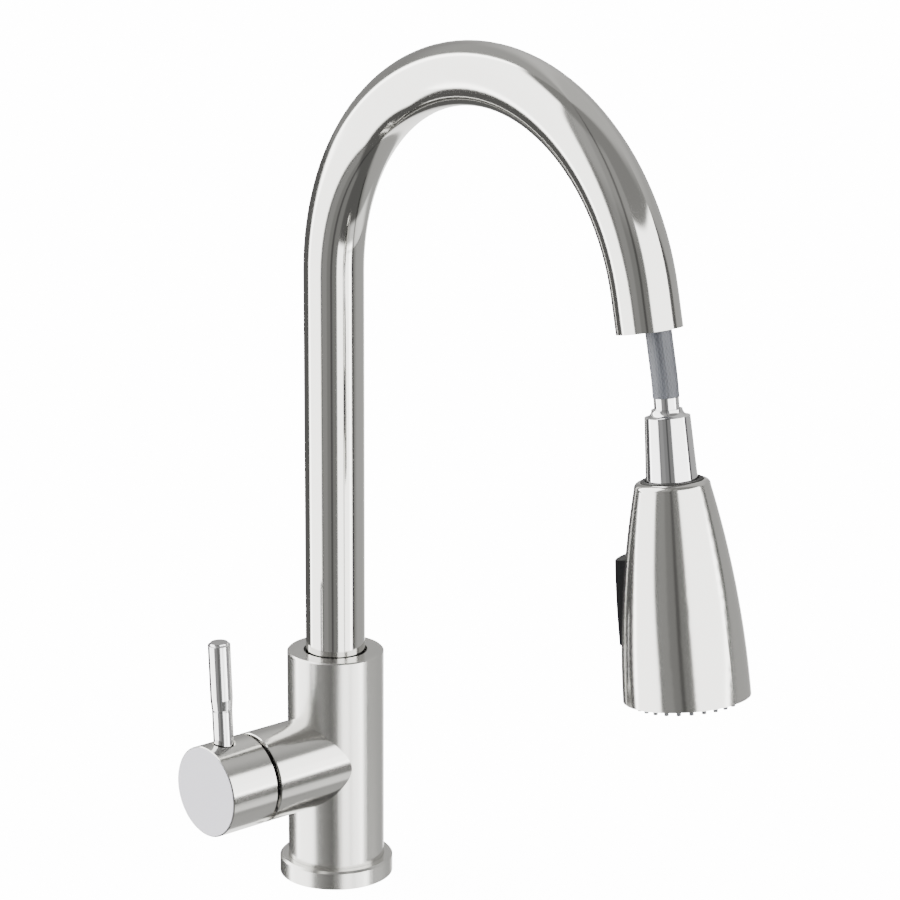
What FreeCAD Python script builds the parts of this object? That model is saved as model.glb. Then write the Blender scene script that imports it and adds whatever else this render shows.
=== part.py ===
"""Pull-down kitchen faucet: a turned base with a side valve, a swivelling gooseneck spout
and a spray head on a hose. Millimetres, +Z up, the spout reaches along +X, the valve branch
points along -Y, and the origin is the centre of the base flange's underside."""
import FreeCAD, Part
import os
import re
import Sketcher

# ---------------------------------------------------------------- driving dimensions
SIZES = {
    # base and body, heights from the deck
    "flange_wall": 4.1, "flange_height": 8.75, "flange_chamfer": 1.0, "flange_bore": 16.8,
    "gasket_side": 1.1, "gasket_rim": 1.2, "gasket_height": 1.6, "press_gap": 0.1,
    "overrun": 1.0,
    "body_radius": 22.75, "body_wall": 2.6, "body_top": 110.6, "body_bevel": 0.6,
    "body_foot": 1.5, "neck_wall": 1.07, "neck_floor": 80.0, "neck_lip": 2.0, "lip_bore": 12.0,
    "shank_thread": 15.75, "insert_height": 13.0,
    # side branch and valve, measured along the branch from the body's axis
    "branch_height": 58.5, "branch_radius": 21.3, "cartridge_gap": 0.5, "branch_rim": 50.0,
    "branch_bevel": 0.4, "branch_mouth": 19.6, "mouth_depth": 2.2,
    "block_face": 22.0, "block_step": 20.0, "block_back": 4.8, "block_foot": 36.0, "block_half": 17.0,
    "hose_clear": 0.8,
    "supply_thread": 3.5, "supply_circle": 11.8, "supply_angle": 40.0, "supply_depth": 9.0,
    "port_radius": 2.6, "inlet_drop": 3.0, "outlet_rise": 5.5,
    "cartridge_radius": 17.5, "plate_height": 4.0, "seal_depth": 1.4, "seal_wall": 1.1,
    "disc_gap": 1.9, "disc_height": 4.0, "slider_gap": 3.2, "slider_height": 3.4,
    "slider_recess": 6.0, "recess_depth": 1.2, "toe_socket": 3.4, "toe_depth": 2.0,
    "housing_wall": 2.0, "housing_top": 44.0, "housing_lip": 2.0, "housing_mouth": 9.6,
    "nut_height": 4.4, "nut_bore": 12.4, "trim_height": 2.9, "trim_bore": 14.2, "trim_dome": 9.6,
    "trim_edge": 0.4, "trim_gap": 0.2,
    "carrier_foot": 34.0, "carrier_height": 7.4, "slot_width": 5.6, "slot_length": 13.0,
    "pivot_height": 37.0, "stem_pin_radius": 1.5, "stem_pin_length": 22.0,
    "stem_rod": 2.4, "stem_toe": 32.0, "stem_square": 7.9, "stem_shoulder": 44.6, "stem_end": 70.5,
    # handle
    "hub_gap": 2.5, "hub_length": 25.35, "hub_cavity": 19.6, "cavity_depth": 8.0,
    "hub_bevel": 0.6, "socket_fit": 0.1, "socket_end": 0.5, "lever_along": 65.97, "lever_lean": 2.26,
    "lever_stem_radius": 4.71, "lever_seat": 12.5, "lever_joint": 38.3, "lever_groove": 0.9,
    "lever_neck": 3.8, "lever_grip_radius": 5.2, "lever_top": 70.3, "lever_bevel": 1.1,
    "lever_mouth": 0.8, "mouth_drop": 2.0,
    "lever_taper": 5.0, "lever_slim": 4.8, "lever_fit": 0.15, "seat_gap": 0.3,
    "screw_radius": 2.5, "screw_length": 10.0, "key_radius": 1.4, "key_depth": 3.0,
    "cap_length": 2.2, "cap_set": 0.3,
    # spout
    "tube_radius": 13.93, "tube_wall": 1.25, "arch_height": 291.85, "arch_radius": 100.15,
    "outlet_tilt": 12.236, "outlet_straight": 15.5, "foot_flange": 3.0, "foot_plug": 11.0,
    "hose_guide": 0.3, "bearing_fit": 0.05, "lower_ring": 90.0, "upper_ring": 101.0,
    "ring_height": 3.6, "seal_radius": 0.5, "lower_seal": 95.2, "seal_pitch": 3.0,
    "lock_radius": 2.0, "lock_gap": 0.3, "lock_set": 0.4,
    "liner_length": 15.0, "liner_wall": 0.5, "liner_flare": 0.2, "liner_set": 0.3, "liner_lead": 2.0,
    # hose
    "hose_radius": 5.5, "hose_bore": 3.5, "hose_lean": 5.0, "hose_split": 16.0, "hose_foot": 32.0,
    "hose_share": 0.9,
    "union_radius": 7.5, "union_foot": 16.5, "union_bore": 3.2, "union_step": 2.0,
    "barb_length": 10.0, "barb_bore": 2.6,
    # hose end, heights along the spray head's axis from its top rim
    "pull_out": 63.3, "head_side": 1.42, "head_tilt": 7.39,
    "ferrule_radius": 5.25, "ferrule_top": 35.8, "ferrule_foot": 23.4,
    "collar_top": 31.0, "collar_foot": 2.9, "collar_top_radius": 9.45, "collar_mouth": 5.4,
    "collar_foot_radius": 10.95, "collar_shoulder": 3.0, "collar_cavity": 8.3, "collar_crown": 27.0,
    "tail_radius": 3.3, "tail_bore": 2.4, "tail_flange": 8.0, "tail_foot": 20.4,
    "tail_end": 41.0, "washer_foot": 18.4, "nipple_radius": 6.0, "nipple_bore": 3.0,
    "nipple_shoulder": 8.0, "nipple_end": 22.0, "groove_radius": 4.9, "swivel_fit": 0.05,
    "clip_drop": 18.6, "clip_height": 1.0, "clip_radius": 7.6,
    "ring_drop": 10.0, "ring_radius": 0.55, "groove_half": 0.7,
    # spray head
    "head_length": 90.0, "rim_radius": 15.57, "rim_flare": 0.3, "rim_mouth": 12.9,
    "rim_rise": 1.4, "rim_round": 1.9, "rim_fall": 1.3, "rim_bend": 2.6,
    "wiper_gap": 0.3, "wiper_proud": 0.5, "mouth_round": 0.5, "rim_depth": 2.2, "skirt_radius": 26.61,
    "skirt_curve": 430.0, "shell_wall": 1.2, "core_fit": 0.15, "core_top": 3.3,
    "chamber_radius": 9.0, "chamber_top": 18.4, "chamber_foot": 62.0, "spray_top": 74.0,
    "spray_inner": 15.3, "spray_outer": 22.9,
    "screen_drop": 22.6, "screen_height": 1.2, "screen_hole": 1.5, "screen_circle": 5.2,
    "check_drop": 24.2, "check_height": 12.0, "check_bore": 4.0, "part_fit": 0.1,
    "face_recess": 0.5, "face_height": 3.0, "mat_height": 2.0, "mat_radius": 23.5,
    "nozzle_radius": 0.95, "nozzle_reach": 2.2, "nozzle_root": 0.5, "nozzle_hole": 1.15,
    "outer_circle": 21.6, "inner_circle": 16.4, "stream_radius": 9.5, "stream_height": 8.0,
    "stream_lip": 1.0, "stream_floor": 3.0,
    "stream_mouth": 7.6, "screw_circle": 12.6, "face_screw": 1.3, "face_screw_head": 2.2,
    "face_screw_dome": 1.0, "dome_radius": 3.52, "screw_grip": 6.0, "screw_fit": 0.3,
    # rocker button
    "rocker_angle": 205.0, "rocker_top": 30.8, "rocker_length": 36.0, "rocker_width": 15.0,
    "rocker_proud": 4.4, "rocker_low": 0.8, "rocker_back": 17.2,
    "rocker_gap": 0.4, "rocker_end_gap": 0.7, "pocket_floor": 13.6,
    "rocker_pivot": 17.0, "boss_half": 2.5, "rocker_pin_radius": 1.0, "rocker_pin_length": 19.0,
    "tongue_width": 3.0, "tongue_height": 1.8, "tongue_end": 12.2, "tongue_gap": 0.4,
    "tongue_slot": 5.0, "spool_radius": 2.2, "spool_length": 15.0, "spool_place": 11.3,
    "spool_travel": 3.0, "notch_height": 2.4,
}

# ---------------------------------------------------------------- derived lengths
FORMULAS = {
    "body_bore": "(body_radius - body_wall)",
    "flange_radius": "(body_radius + flange_wall)",
    "gasket_inner": "(body_radius + gasket_side)",
    "gasket_outer": "(flange_radius - gasket_rim)",
    "neck_bore": "(tube_radius + neck_wall)",
    "branch_bore": "(cartridge_radius + cartridge_gap)",
    "disc_radius": "(cartridge_radius - housing_wall - disc_gap)",
    "slider_radius": "(disc_radius - slider_gap)",
    "tube_bore": "(tube_radius - tube_wall)",
    "supply_side": "(supply_circle * sin(supply_angle))",
    "supply_out": "(supply_circle * cos(supply_angle))",
    "foot_seat": "(neck_floor + neck_lip)",
    "tube_foot": "(foot_seat + foot_flange)",
    "lock_height": "(tube_foot + lock_gap + lock_radius)",
    "plate_top": "(block_face + plate_height)",
    "disc_top": "(plate_top + disc_height)",
    "nut_top": "(housing_top + nut_height)",
    "hub_foot": "(branch_rim + hub_gap)",
    "hub_face": "(hub_foot + hub_length)",
    "turn": "(outlet_tilt - head_tilt)",
    "outlet_x": "(arch_radius * (1 + cos(outlet_tilt)) + outlet_straight * sin(outlet_tilt))",
    "outlet_z": "(arch_height + arch_radius * sin(outlet_tilt) - outlet_straight * cos(outlet_tilt))",
    # the hose leans on the outer side of the outlet, and its arch ends on the riser's axis
    "hose_arch": "((arch_radius * (1 + cos(outlet_tilt)) + hose_lean) / (1 + cos(outlet_tilt)))",
    "hose_end_side": "(head_side + ferrule_top * sin(turn))",
    "hose_end_drop": "(pull_out - ferrule_top * cos(turn))",
    "hose_run": "((hose_lean - hose_end_side) / sin(turn))",
    "hose_bend": "(hose_share * hose_run)",
    "corner_drop": "(hose_end_drop - hose_run * cos(turn))",
    "skirt_start": "(rim_radius + rim_flare)",
    "foot_bore": "(hose_radius + hose_guide)",
    "core_foot": "(head_length - face_recess - face_height - mat_height)",
    "rocker_middle": "(rocker_top + rocker_length / 2)",
    "rocker_foot": "(rocker_top + rocker_length)",
    "rocker_slope": "((rocker_proud - rocker_low) / rocker_length)",
    "proud_at_rim": "(rocker_proud + rocker_slope * (rocker_top - rim_depth))",
    "proud_at_skirt": "(rocker_low - rocker_slope * (head_length - rocker_foot))",
}

# counts
HEXAGON = 6
FACE_SCREWS = 3
SCREEN_HOLES = 8
NOZZLES = {"outer": 26, "inner": 18}
SAME_POINT = 1e-6

# places: the frame that a group of pieces is made in, with its own +Z along their axis
UPRIGHT = "placement(vector(0; 0; 0); rotation(vector(0; 0; 1); 0))"
BRANCH = "placement(vector(0; 0; branch_height); rotation(vector(1; 0; 0); 90))"
LEVER = "placement(vector(0; -lever_along; branch_height); rotation(vector(1; 0; 0); lever_lean))"
OUTLET = "placement(vector(outlet_x; 0; outlet_z); rotation(vector(0; 1; 0); -outlet_tilt))"
HEAD = OUTLET + (" * placement(vector(head_side; 0; -pull_out); rotation(vector(0; 1; 0); turn))")
ROCKER = HEAD + " * placement(vector(0; 0; 0); rotation(vector(0; 0; 1); rocker_angle))"

WORD = re.compile(r"[A-Za-z_]\w*")
doc = FreeCAD.newDocument("faucet")
sheet = doc.addObject("Spreadsheet::Sheet", "sizes")
for row, (alias, value) in enumerate(SIZES.items(), start=1):
    sheet.set(f"A{row}", alias)
    sheet.set(f"B{row}", str(value))
    sheet.setAlias(f"B{row}", alias)
doc.recompute()
PIECES = []


# ---------------------------------------------------------------- ways of making a piece
def formula(text):
    """An expression on the sheet's cells, with every derived length written out."""
    def word(match):
        name = match.group()
        if name in FORMULAS:
            return formula(FORMULAS[name])
        return f"sizes.{name}" if name in SIZES else name
    return WORD.sub(word, str(text))


def size(text):
    """The present value of an expression on the sheet's cells."""
    return float(sheet.evalExpression(formula(text)))


def bind(thing, **expressions):
    for name, text in expressions.items():
        thing.setExpression(name, formula(text))
    return thing


def piece(label, thing):
    """Names a finished piece, which is then checked and exported."""
    thing.Label = label
    PIECES.append(thing)


def arc_between(start, end, radius, side):
    """The shorter arc of this radius. Side 1 bulges to the left of the way, -1 to the right."""
    chord = end - start
    across = FreeCAD.Vector(-chord.y, chord.x, 0).normalize()
    sagitta = radius - max(radius ** 2 - chord.Length ** 2 / 4, 0) ** 0.5
    return Part.Arc(start, (start + end) * 0.5 + across * sagitta * side, end)


def outline(sketch, points, closed=True):
    """Joins points by straight edges, or by an arc where a point is (x, y, radius, side).
    Every coordinate and radius is bound to the sheet."""
    corners = [FreeCAD.Vector(size(point[0]), size(point[1]), 0) for point in points]
    spans = [(number - 1, number) for number in range(0 if closed else 1, len(points))]
    ends = {}
    for first, last in spans:
        first %= len(points)
        bend = points[last][2:]
        if bend:
            edge = arc_between(corners[first], corners[last], size(bend[0]), bend[1])
            index = sketch.addGeometry(edge)
            row = sketch.addConstraint(Sketcher.Constraint("Radius", index, size(bend[0])))
            sketch.setExpression(f"Constraints[{row}]", formula(bend[0]))
        else:
            index = sketch.addGeometry(Part.LineSegment(corners[first], corners[last]))
        forward = (sketch.getPoint(index, 1) - corners[first]).Length < SAME_POINT
        ends.setdefault(first, []).append((index, 1 if forward else 2))
        ends.setdefault(last, []).append((index, 2 if forward else 1))
    for number, point in enumerate(points):
        here, *others = ends[number]
        for other in others:
            sketch.addConstraint(Sketcher.Constraint("Coincident", *other, *here))
        for kind, text, value, axis in (("DistanceX", point[0], corners[number].x, -2),
                                        ("DistanceY", point[1], corners[number].y, -1)):
            if text == "0":
                sketch.addConstraint(Sketcher.Constraint("PointOnObject", *here, axis))
                continue
            row = sketch.addConstraint(Sketcher.Constraint(kind, -1, 1, *here, value))
            sketch.setExpression(f"Constraints[{row}]", formula(text))


def sketch_in(body, name, role, height="0"):
    sketch = body.newObject("Sketcher::SketchObject", name)
    plane = next(item for item in body.Origin.OriginFeatures if item.Role == role)
    sketch.AttachmentSupport = [(plane, "")]
    sketch.MapMode = "FlatFace"
    bind(sketch, **{"AttachmentOffset.Base.z": height})
    return sketch


def circle_in(sketch, radius, across="0"):
    centre = FreeCAD.Vector(size(across), 0, 0)
    index = sketch.addGeometry(Part.Circle(centre, FreeCAD.Vector(0, 0, 1), size(radius)))
    row = sketch.addConstraint(Sketcher.Constraint("Radius", index, size(radius)))
    sketch.setExpression(f"Constraints[{row}]", formula(radius))
    if across == "0":
        sketch.addConstraint(Sketcher.Constraint("Coincident", index, 3, -1, 1))
        return
    sketch.addConstraint(Sketcher.Constraint("PointOnObject", index, 3, -1))
    row = sketch.addConstraint(Sketcher.Constraint("DistanceX", -1, 1, index, 3, size(across)))
    sketch.setExpression(f"Constraints[{row}]", formula(across))


def turned(name, points, place=UPRIGHT):
    """A piece turned about its own Z axis from a half section of (radius, height) points."""
    body = doc.addObject("PartDesign::Body", name)
    section = sketch_in(body, f"{name}_section", "XZ_Plane")
    outline(section, points)
    turn = body.newObject("PartDesign::Revolution", f"{name}_turn")
    turn.Profile = section
    turn.ReferenceAxis = (section, ["V_Axis"])
    turn.Angle = 360
    return bind(body, Placement=place)


def rod(name, radius, foot, top, place=UPRIGHT):
    return turned(name, [("0", foot), (radius, foot), (radius, top), ("0", top)], place)


def tube(name, inner, outer, foot, top, place=UPRIGHT):
    return turned(name, [(inner, foot), (outer, foot), (outer, top), (inner, top)], place)


def pattern(body, name, kind, radius, circle, count, foot, height):
    """Pads or pockets a ring of round studs or holes, evenly spaced about the body's Z axis."""
    doc.recompute()
    section = sketch_in(body, f"{name}_section", "XY_Plane", foot)
    circle_in(section, radius, circle)
    feature = body.newObject(f"PartDesign::{kind}", name)
    feature.Profile = section
    bind(feature, Length=height)
    feature.Reversed = kind == "Pocket"
    ring = body.newObject("PartDesign::PolarPattern", f"{name}_ring")
    ring.Originals = [feature]
    ring.Axis = (section, ["N_Axis"])
    ring.Angle = 360
    ring.Occurrences = count
    body.Tip = ring


def cylinder(name, radius, height, place):
    solid = doc.addObject("Part::Cylinder", name)
    return bind(solid, Radius=radius, Height=height, Placement=place)


def block(name, low, high, place=UPRIGHT):
    """A box between two corners of the frame named by place."""
    sides = [f"({top}) - ({foot})" for foot, top in zip(low, high)]
    corner = f"placement(vector({low[0]}; {low[1]}; {low[2]}); rotation(vector(0; 0; 1); 0))"
    return bind(doc.addObject("Part::Box", name), Length=sides[0], Width=sides[1], Height=sides[2],
                Placement=f"{place} * {corner}")


def cut(name, base, *tools):
    """Base less every tool."""
    for number, tool in enumerate(tools):
        less = doc.addObject("Part::Cut", f"{name}_less{number}")
        less.Base, less.Tool = base, tool
        base = less
    return base


def joined(name, *solids):
    result = doc.addObject("Part::MultiFuse", name)
    result.Shapes = list(solids)
    return result


def common(name, *solids):
    result = doc.addObject("Part::MultiCommon", name)
    result.Shapes = list(solids)
    return result


def group(name, *solids):
    """Several like solids that share one node."""
    result = doc.addObject("Part::Compound", name)
    result.Links = list(solids)
    return result


def o_ring(name, radius, cord, height, place=UPRIGHT):
    lift = f"placement(vector(0; 0; {height}); rotation(vector(0; 0; 1); 0))"
    ring = doc.addObject("Part::Torus", name)
    return bind(ring, Radius1=radius, Radius2=cord, Placement=f"{place} * {lift}")


def swept(name, path, *radii):
    """A round bar or, with two radii, a tube along a path in the XZ plane."""
    body = doc.addObject("PartDesign::Body", name)
    spine = sketch_in(body, f"{name}_path", "XZ_Plane")
    outline(spine, path, closed=False)
    doc.recompute()
    section = body.newObject("Sketcher::SketchObject", f"{name}_section")
    section.AttachmentSupport = [(spine, "Edge1"), (spine, "Vertex1")]
    section.MapMode = "NormalToEdge"
    for radius in radii:
        circle_in(section, radius)
    pipe = body.newObject("PartDesign::AdditivePipe", f"{name}_pipe")
    pipe.Profile = section
    pipe.Spine = spine
    return body


def hex_screw(name, radius, foot, length, place):
    """A grub screw with a hexagon socket in its outer end."""
    shank = rod(f"{name}_shank", radius, foot, f"{foot} + {length}", place)
    key_place = (f"{place} * placement(vector(0; 0; {foot} + {length} - key_depth);"
                 " rotation(vector(0; 0; 1); 0))")
    key = bind(doc.addObject("Part::Prism", f"{name}_key"), Circumradius="key_radius",
               Height="key_depth + overrun", Placement=key_place)
    key.Polygon = HEXAGON
    return cut(name, shank, key)


# ---------------------------------------------------------------- base and body
def base_flange():
    """Deck ring with a chamfered top edge, a ledge under the shell and a groove for the gasket."""
    piece("base_flange", turned("flange", [
        ("flange_bore", "0"), ("gasket_inner", "0"), ("gasket_inner", "gasket_height"),
        ("gasket_outer", "gasket_height"), ("gasket_outer", "0"), ("flange_radius", "0"),
        ("flange_radius", "flange_height - flange_chamfer"),
        ("flange_radius - flange_chamfer", "flange_height"),
        ("body_radius + press_gap", "flange_height"), ("body_radius + press_gap", "body_foot"),
        ("flange_bore", "body_foot")]))
    piece("base_gasket", tube("gasket", "gasket_inner", "gasket_outer", "0", "gasket_height"))


def body_shell():
    """Upright shell with the neck that carries the spout, and the branch sleeve welded to its side."""
    upright = turned("upright", [
        ("0", "body_foot"), ("body_radius", "body_foot"), ("body_radius", "body_top - body_bevel"),
        ("body_radius - body_bevel", "body_top"), ("0", "body_top")])
    branch = turned("branch", [
        ("0", "0"), ("branch_radius", "0"), ("branch_radius", "branch_rim - branch_bevel"),
        ("branch_radius - branch_bevel", "branch_rim"), ("0", "branch_rim")], BRANCH)
    hollow = rod("shell_hollow", "body_bore", "0", "neck_floor")
    lip = rod("lip_hole", "lip_bore", "0", "body_top")
    neck = rod("neck_hole", "neck_bore", "foot_seat", "body_top + overrun")
    bore = rod("branch_hole", "branch_bore", "0", "branch_rim + overrun", BRANCH)
    mouth = rod("mouth_hole", "branch_mouth", "branch_rim - mouth_depth",
               "branch_rim + overrun", BRANCH)
    screw = cylinder("lock_hole", "lock_radius", "body_radius + overrun",
                     "placement(vector(0; 0; lock_height); rotation(vector(1; 0; 0); -90))")
    saddle = rod("saddle", "body_radius", "0", "body_top")
    piece("body_shell", cut("shell", upright, hollow, lip, neck, bore, screw))
    piece("branch_sleeve", cut("sleeve", branch, bore, mouth, saddle))


def shank_insert():
    """Brass ring in the foot of the shell, tapped for the shank that clamps the faucet down.
    Its spigot centres the flange."""
    spigot = "flange_bore - press_gap"
    top = "body_foot + insert_height"
    piece("shank_insert", turned("insert", [
        ("shank_thread", "0"), (spigot, "0"), (spigot, "body_foot"), ("body_bore", "body_foot"),
        ("body_bore", top), ("shank_thread", top)]))


# across the branch, up from its axis, and how far out from the body's axis each line stands
PORTS = {"hot": ("-supply_side", "-inlet_drop", "supply_out"),
         "cold": ("supply_side", "-inlet_drop", "supply_out"),
         "mixed": ("0", "outlet_rise", "supply_circle")}


def port(name, radius, across, up, foot, top):
    """A round hole or plug along the branch, off its axis."""
    return cylinder(name, radius, f"({top}) - ({foot})",
                    f"{BRANCH} * placement(vector({across}; {up}; {foot}); rotation(vector(0; 0; 1); 0))")


def valve_block():
    """Brass block at the root of the branch, round the hose: tapped sockets below for the two
    supply hoses and the spray hose's return, each meeting a port in the cartridge's seat."""
    blank = block("block_blank", ("-block_half", "-block_step", "block_foot"),
                  ("block_half", "-block_back", "branch_height"))
    trimmed = common("block_foot_part", blank, rod("block_limit", "body_bore", "0", "neck_floor"))
    face = rod("block_face_part", "branch_bore", "block_back", "block_face", BRANCH)
    holes = []
    for name, (across, up, out) in PORTS.items():
        below = f"placement(vector({across}; -{out}; block_foot - overrun); rotation(vector(0; 0; 1); 0))"
        holes += [
            cylinder(f"{name}_socket", "supply_thread", "supply_depth + overrun", below),
            cylinder(f"{name}_riser", "port_radius",
                     f"branch_height + ({up}) - block_foot + overrun", below),
            port(f"{name}_port", "port_radius", across, up, out, "block_face + overrun")]
    passage = rod("hose_passage_hole", "hose_radius + hose_clear", "0", "neck_floor")
    piece("valve_block", cut("block", joined("block_casting", trimmed, face), passage, *holes))


# ---------------------------------------------------------------- valve cartridge
def cartridge_body():
    """Plastic base plate with port seals, the fixed ceramic disc and the housing over them."""
    plate = rod("plate_blank", "cartridge_radius", "block_face", "plate_top", BRANCH)
    disc = rod("disc_blank", "disc_radius", "plate_top", "disc_top", BRANCH)
    seats, plate_ports, disc_ports, seals = [], [], [], []
    for name, (across, up, _) in PORTS.items():
        wide = "port_radius + seal_wall"
        below = "block_face - overrun"
        seal_top = "block_face + seal_depth"
        seats.append(port(f"{name}_seat", wide, across, up, below, seal_top))
        plate_ports.append(port(f"{name}_plate_port", "port_radius", across, up, below,
                                "plate_top + overrun"))
        disc_ports.append(port(f"{name}_disc_port", "port_radius", across, up, below,
                               "disc_top + overrun"))
        ring = port(f"{name}_seal_ring", wide, across, up, "block_face", seal_top)
        hole = port(f"{name}_seal_hole", "port_radius", across, up, below, "plate_top")
        seals.append(cut(f"{name}_seal", ring, hole))
    piece("cartridge_plate", cut("plate", plate, *seats, *plate_ports))
    piece("port_seals", group("seals", *seals))
    piece("fixed_disc", cut("disc", disc, *disc_ports))
    inner = "cartridge_radius - housing_wall"
    piece("cartridge_housing", turned("housing", [
        (inner, "plate_top"), ("cartridge_radius", "plate_top"), ("cartridge_radius", "housing_top"),
        ("housing_mouth", "housing_top"), ("housing_mouth", "housing_top - housing_lip"),
        (inner, "housing_top - housing_lip")], BRANCH))


def moving_disc():
    """Ceramic slider with a mixing recess below and a socket for the stem's toe above."""
    top = "disc_top + slider_height"
    piece("moving_disc", turned("slider", [
        ("0", "disc_top + recess_depth"), ("slider_recess", "disc_top + recess_depth"),
        ("slider_recess", "disc_top"), ("slider_radius", "disc_top"), ("slider_radius", top),
        ("toe_socket", top), ("toe_socket", f"{top} - toe_depth"), ("0", f"{top} - toe_depth")], BRANCH))


def cross_pin(name, radius, length):
    """A pin through the stem's pivot, across the branch."""
    return cylinder(name, radius, length,
                    f"{BRANCH} * placement(vector(-({length}) / 2; 0; pivot_height);"
                    " rotation(vector(0; 1; 0); 90))")


def stem_carrier():
    """Rotor that turns in the housing and holds the stem's pin in a slot."""
    blank = rod("carrier_blank", "cartridge_radius - housing_wall - bearing_fit", "carrier_foot",
                "carrier_foot + carrier_height", BRANCH)
    slot = block("carrier_slot", ("-slot_width / 2", "-slot_length / 2", "carrier_foot - overrun"),
                 ("slot_width / 2", "slot_length / 2", "carrier_foot + carrier_height + overrun"), BRANCH)
    hole = cross_pin("carrier_pin_hole", "stem_pin_radius", "stem_pin_length")
    piece("stem_carrier", cut("carrier", blank, slot, hole))
    piece("stem_pin", cross_pin("pin", "stem_pin_radius", "stem_pin_length"))


def cartridge_stem():
    """Steel lever: a round toe in the slider, a pin hole at the pivot and a square for the hub."""
    bar = rod("stem_bar", "stem_rod", "stem_toe", "stem_shoulder", BRANCH)
    square = block("stem_square_part", ("-stem_square / 2", "-stem_square / 2", "stem_shoulder"),
                   ("stem_square / 2", "stem_square / 2", "stem_end"), BRANCH)
    hole = cross_pin("stem_pin_hole", "stem_pin_radius + bearing_fit", "stem_pin_length")
    piece("cartridge_stem", cut("stem", joined("stem_blank", bar, square), hole))


def branch_rings():
    """Brass nut that clamps the cartridge, and the domed trim ring seen in the hub's gap."""
    piece("cartridge_nut", tube("nut", "nut_bore", "branch_bore", "housing_top", "nut_top", BRANCH))
    edge = "branch_mouth - trim_gap"
    piece("trim_ring", turned("trim", [
        ("trim_bore", "nut_top"), (edge, "nut_top"), (edge, "branch_rim + trim_edge"),
        ("trim_bore", "nut_top + trim_height", "trim_dome", -1)], BRANCH))


# ---------------------------------------------------------------- handle
def handle_hub():
    """Turned cap on the stem, tapped for the lever above and for a grub screw below."""
    floor = "hub_foot + cavity_depth"
    blank = turned("hub_blank", [
        ("hub_cavity", "hub_foot"), ("branch_radius", "hub_foot"),
        ("branch_radius", "hub_face - hub_bevel"), ("branch_radius - hub_bevel", "hub_face"),
        ("0", "hub_face"), ("0", floor), ("hub_cavity", floor)], BRANCH)
    reach = "stem_square / 2 + socket_fit"
    socket = block("hub_socket", (f"-({reach})", f"-({reach})", f"{floor} - overrun"),
                   (reach, reach, "stem_end + socket_end"), BRANCH)
    seat = rod("lever_hole", "lever_stem_radius + lever_fit", "lever_seat", "branch_radius + overrun", LEVER)
    mouth = rod("lever_mouth_hole", "lever_stem_radius + lever_mouth", "branch_radius - mouth_drop",
                "branch_radius + overrun", LEVER)
    screw = cylinder("screw_hole", "screw_radius", "branch_radius",
                     "placement(vector(0; -lever_along; branch_height); rotation(vector(1; 0; 0); 180))")
    piece("handle_hub", cut("hub", blank, socket, seat, mouth, screw))


def lever():
    """Screwed stem and the longer grip on it, with a fine groove between them."""
    piece("lever_stem", turned("lever_stem_part", [
        ("0", "lever_seat + seat_gap"), ("lever_stem_radius", "lever_seat + seat_gap"),
        ("lever_stem_radius", "lever_joint - lever_groove"), ("lever_neck", "lever_joint - lever_groove"),
        ("lever_neck", "lever_joint"), ("0", "lever_joint")], LEVER))
    piece("lever_grip", turned("lever_grip_part", [
        ("0", "lever_joint"), ("lever_slim", "lever_joint"),
        ("lever_grip_radius", "lever_joint + lever_taper"),
        ("lever_grip_radius", "lever_top - lever_bevel"),
        ("lever_grip_radius - lever_bevel", "lever_top", "lever_bevel", 1), ("0", "lever_top")], LEVER))


def hub_screw():
    """Grub screw against the stem's flat, and the plug that covers it, under the hub."""
    below = "placement(vector(0; -lever_along; branch_height); rotation(vector(1; 0; 0); 180))"
    piece("handle_screw", hex_screw("hub_grub", "screw_radius - press_gap", "stem_square / 2",
                                    "screw_length", below))
    piece("screw_cap", rod("cap", "screw_radius - press_gap", "branch_radius - cap_length - cap_set",
                           "branch_radius - cap_set", below))


# ---------------------------------------------------------------- spout
def in_outlet(side, drop):
    """A point of the spout's plane, from the outlet: outwards across it and down along it."""
    return (f"outlet_x + ({drop}) * sin(outlet_tilt) + ({side}) * cos(outlet_tilt)",
            f"outlet_z - ({drop}) * cos(outlet_tilt) + ({side}) * sin(outlet_tilt)")


def arch_point(radius, angle):
    """A point on an arch that starts on the riser's axis, at an angle up from its far end."""
    return (f"{radius} * (1 + cos({angle}))", f"arch_height + {radius} * sin({angle})")


def spout_tube():
    piece("spout_tube", swept("spout", [
        ("0", "tube_foot"), ("0", "arch_height"),
        (*arch_point("arch_radius", "outlet_tilt"), "arch_radius", 1), in_outlet("0", "0")],
        "tube_radius", "tube_bore"))


def spout_foot():
    """Brass foot brazed into the riser. Its flange rests on the neck's lip under a lock screw."""
    piece("spout_foot", turned("foot", [
        ("foot_bore", "foot_seat"), ("neck_bore - bearing_fit", "foot_seat"),
        ("neck_bore - bearing_fit", "tube_foot"), ("tube_bore", "tube_foot"),
        ("tube_bore", "tube_foot + foot_plug"), ("foot_bore", "tube_foot + foot_plug")]))
    behind = "placement(vector(0; 0; lock_height); rotation(vector(1; 0; 0); -90))"
    length = "body_radius - tube_radius - lock_gap - lock_set"
    piece("lock_screw", hex_screw("neck_grub", "lock_radius - press_gap / 2", "(tube_radius + lock_gap)",
                                  length, behind))


def neck_bearings():
    """Plastic wear rings and rubber seals round the riser, inside the neck."""
    outer = "neck_bore - bearing_fit"
    for name in ("lower_ring", "upper_ring"):
        piece(f"{name[:5]}_wear_ring",
              tube(f"{name}_part", "tube_radius", outer, name, f"{name} + ring_height"))
    middle = f"(tube_radius + {outer}) / 2"
    piece("neck_seals", group("neck_rings", *[
        o_ring(f"neck_ring{number}", middle, "seal_radius", f"lower_seal + {number} * seal_pitch")
        for number in (0, 1)]))


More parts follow.
